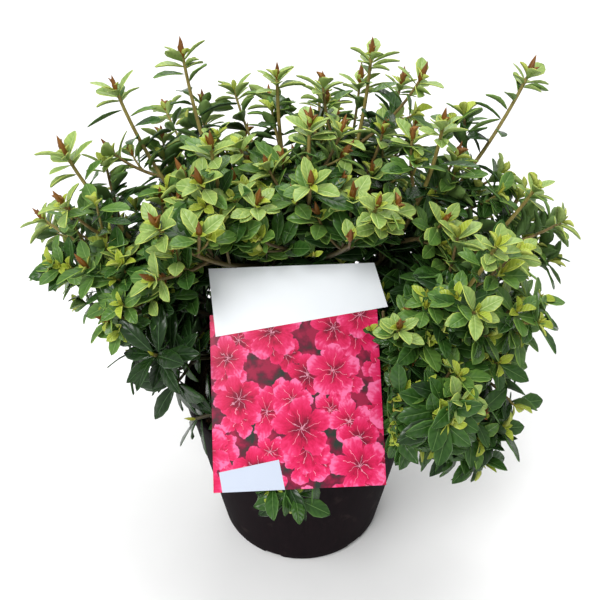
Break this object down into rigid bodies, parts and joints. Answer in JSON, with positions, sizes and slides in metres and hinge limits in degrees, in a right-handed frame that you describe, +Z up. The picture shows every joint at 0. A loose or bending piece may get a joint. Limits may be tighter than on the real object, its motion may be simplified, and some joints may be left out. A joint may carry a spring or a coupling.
{
  "type": "potted azalea shrub",
  "caption": "Evergreen azalea shrub with a dome of upright leafy shoots, growing in a round nursery pot, with a printed plant label leaning on its front.",
  "frame": {"origin": "centre of the pot's flat underside", "axes": "+Z up along the pot, -Y towards the front where the label leans, +X to the right as seen from the front"},
  "size_m": [0.4618, 0.367, 0.4052],
  "materials": {
    "pot": "matte",
    "compost": "rough",
    "label": "semi-gloss",
    "bark": "rough",
    "foliage": "satin"
  },
  "bodies": {
    "root": {"pot": "pot", "compost": "compost", "plant_label": "label", "trunk": "bark", "left_back_high_bough": "bark", "left_high_bough": "bark", "left_back_low_bough": "bark", "left_low_bough": "bark", "left_front_high_bough": "bark", "front_low_bough": "bark", "centre_bough": "bark", "back_top_bough": "bark", "right_back_high_bough": "bark", "right_high_bough": "bark", "right_low_bough": "bark", "right_front_high_bough": "bark", "right_front_low_bough": "bark", "right_low_skirt_bough": "bark", "back_right_high_bough": "bark", "back_left_high_bough": "bark", "back_right_low_bough": "bark", "back_low_bough": "bark", "left_leader_foliage": "foliage", "left_tall_foliage": "foliage", "left_upper_foliage": "foliage", "left_low_foliage": "foliage", "left_mid_foliage": "foliage", "left_back_skirt_foliage": "foliage", "left_skirt_foliage": "foliage", "left_rim_foliage": "foliage", "left_front_foliage": "foliage", "left_top_foliage": "foliage", "front_left_rim_foliage": "foliage", "front_rim_foliage": "foliage", "crown_centre_foliage": "foliage", "front_right_top_foliage": "foliage", "top_left_foliage": "foliage", "top_right_foliage": "foliage", "right_upper_foliage": "foliage", "right_leader_foliage": "foliage", "right_high_foliage": "foliage", "right_mid_foliage": "foliage", "right_low_foliage": "foliage", "right_skirt_foliage": "foliage", "right_front_foliage": "foliage", "label_right_foliage": "foliage", "front_right_low_foliage": "foliage", "front_right_rim_foliage": "foliage", "right_skirt_low_foliage": "foliage", "back_right_high_foliage": "foliage", "back_high_foliage": "foliage", "back_left_high_foliage": "foliage", "back_left_low_foliage": "foliage", "back_right_low_foliage": "foliage", "right_back_skirt_foliage": "foliage", "back_low_right_foliage": "foliage", "back_low_left_foliage": "foliage"}
  },
  "joints": []
}
